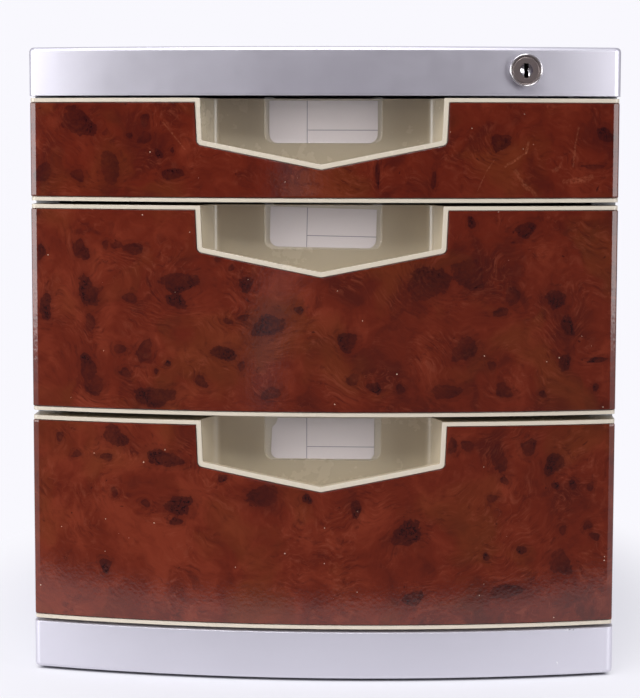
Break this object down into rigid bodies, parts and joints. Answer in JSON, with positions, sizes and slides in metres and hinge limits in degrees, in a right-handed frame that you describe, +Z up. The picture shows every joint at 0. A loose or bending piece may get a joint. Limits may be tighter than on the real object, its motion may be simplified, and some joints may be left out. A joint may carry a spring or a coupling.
{
  "type": "desktop filing cabinet",
  "caption": "Desktop filing cabinet: bowed burl-faced drawers with cream finger pockets and label windows, silver cover and base, and one key lock that bars them all.",
  "frame": {"origin": "on the desk under the middle of the cabinet's box", "axes": "+X to the right seen from the front, +Y to the back, +Z up; the bowed front faces -Y"},
  "size_m": [0.3, 0.4, 0.3215],
  "materials": {
    "silver_paint": "silver paint, satin",
    "grey_plastic": "satin",
    "cream_plastic": "satin gloss",
    "burl_gloss": "glossy burl print",
    "clear_plastic": "clear",
    "card": "matt card",
    "chrome": "polished",
    "zinc_steel": "zinc plated",
    "rubber": "matt"
  },
  "bodies": {
    "case": {"top_cover": "silver_paint", "base": "silver_paint", "back_panel": "grey_plastic", "side_panel_left": "grey_plastic", "foot_front_left": "rubber", "cover_screw_front_left": "zinc_steel", "base_screw_front_left": "zinc_steel", "foot_rear_left": "rubber", "cover_screw_rear_left": "zinc_steel", "base_screw_rear_left": "zinc_steel", "back_screw_lower_left": "zinc_steel", "back_screw_upper_left": "zinc_steel", "side_panel_right": "grey_plastic", "foot_front_right": "rubber", "cover_screw_front_right": "zinc_steel", "base_screw_front_right": "zinc_steel", "foot_rear_right": "rubber", "cover_screw_rear_right": "zinc_steel", "base_screw_rear_right": "zinc_steel", "back_screw_lower_right": "zinc_steel", "back_screw_upper_right": "zinc_steel", "lock_housing": "chrome", "lock_nut": "zinc_steel"},
    "top_drawer": {"top_drawer_front": "cream_plastic", "top_drawer_facing": "burl_gloss", "top_drawer_tray": "cream_plastic", "top_drawer_label_window": "clear_plastic", "top_drawer_label_card": "card", "top_drawer_screw_1": "zinc_steel", "top_drawer_screw_2": "zinc_steel", "top_drawer_screw_3": "zinc_steel", "top_drawer_screw_4": "zinc_steel"},
    "middle_drawer": {"middle_drawer_front": "cream_plastic", "middle_drawer_facing": "burl_gloss", "middle_drawer_tray": "cream_plastic", "middle_drawer_label_window": "clear_plastic", "middle_drawer_label_card": "card", "middle_drawer_screw_1": "zinc_steel", "middle_drawer_screw_2": "zinc_steel", "middle_drawer_screw_3": "zinc_steel", "middle_drawer_screw_4": "zinc_steel"},
    "bottom_drawer": {"bottom_drawer_front": "cream_plastic", "bottom_drawer_facing": "burl_gloss", "bottom_drawer_tray": "cream_plastic", "bottom_drawer_label_window": "clear_plastic", "bottom_drawer_label_card": "card", "bottom_drawer_screw_1": "zinc_steel", "bottom_drawer_screw_2": "zinc_steel", "bottom_drawer_screw_3": "zinc_steel", "bottom_drawer_screw_4": "zinc_steel"},
    "lock_cylinder": {"lock_plug": "chrome", "lock_cam": "zinc_steel", "lock_cam_screw": "zinc_steel"},
    "lock_bar": {"lock_bar": "zinc_steel"}
  },
  "joints": [
    {"name": "top_drawer_slide", "type": "slide", "parent": "case", "child": "top_drawer", "axis": [0, -1, 0], "range_m": [0, 0.25]},
    {"name": "middle_drawer_slide", "type": "slide", "parent": "case", "child": "middle_drawer", "axis": [0, -1, 0], "range_m": [0, 0.25]},
    {"name": "bottom_drawer_slide", "type": "slide", "parent": "case", "child": "bottom_drawer", "axis": [0, -1, 0], "range_m": [0, 0.25]},
    {"name": "lock_turn", "type": "hinge", "parent": "case", "child": "lock_cylinder", "pos_m": [0.1016, -0.19233, 0.3098], "axis": [0, 1, 0], "range_deg": [0, 90]},
    {"name": "lock_bar_slide", "type": "slide", "parent": "case", "child": "lock_bar", "axis": [0, 0, -1], "range_m": [0, 0.00708]}
  ],
  "couplings": [
    {"joint": "lock_bar_slide", "follows": "lock_turn", "m_per_rad": 0.0045016}
  ]
}
